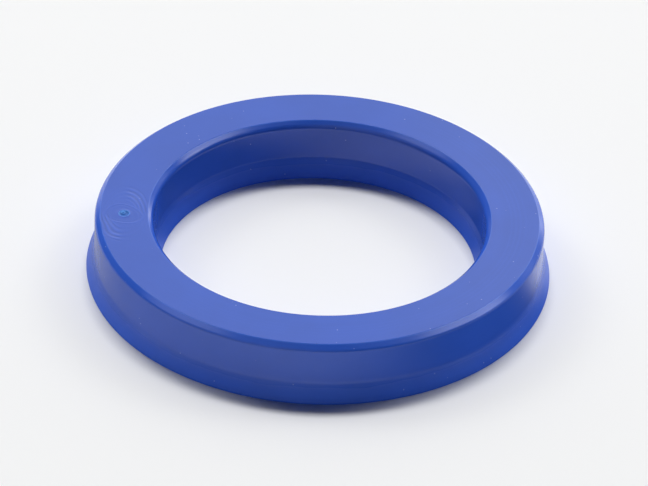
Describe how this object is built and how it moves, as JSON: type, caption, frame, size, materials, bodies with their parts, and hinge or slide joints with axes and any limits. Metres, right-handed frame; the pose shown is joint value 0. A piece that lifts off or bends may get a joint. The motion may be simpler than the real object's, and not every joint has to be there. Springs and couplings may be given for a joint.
{
  "type": "u cup seal",
  "caption": "Polyurethane U cup seal: a ring with a flat bevelled heel and flared lips on both sides of an open U, which seals a rod in its groove.",
  "frame": {"origin": "centre of the ring, on the plane that the feet of its lips stand on", "axes": "+Z along the ring's axis and out of the flat heel; the sprue mark lies near -X"},
  "size_m": [0.0714, 0.0714, 0.0097],
  "materials": {
    "polyurethane": "blue injection-moulded polyurethane, smooth and semi-gloss"
  },
  "bodies": {
    "root": {"seal_ring": "polyurethane"}
  },
  "joints": []
}
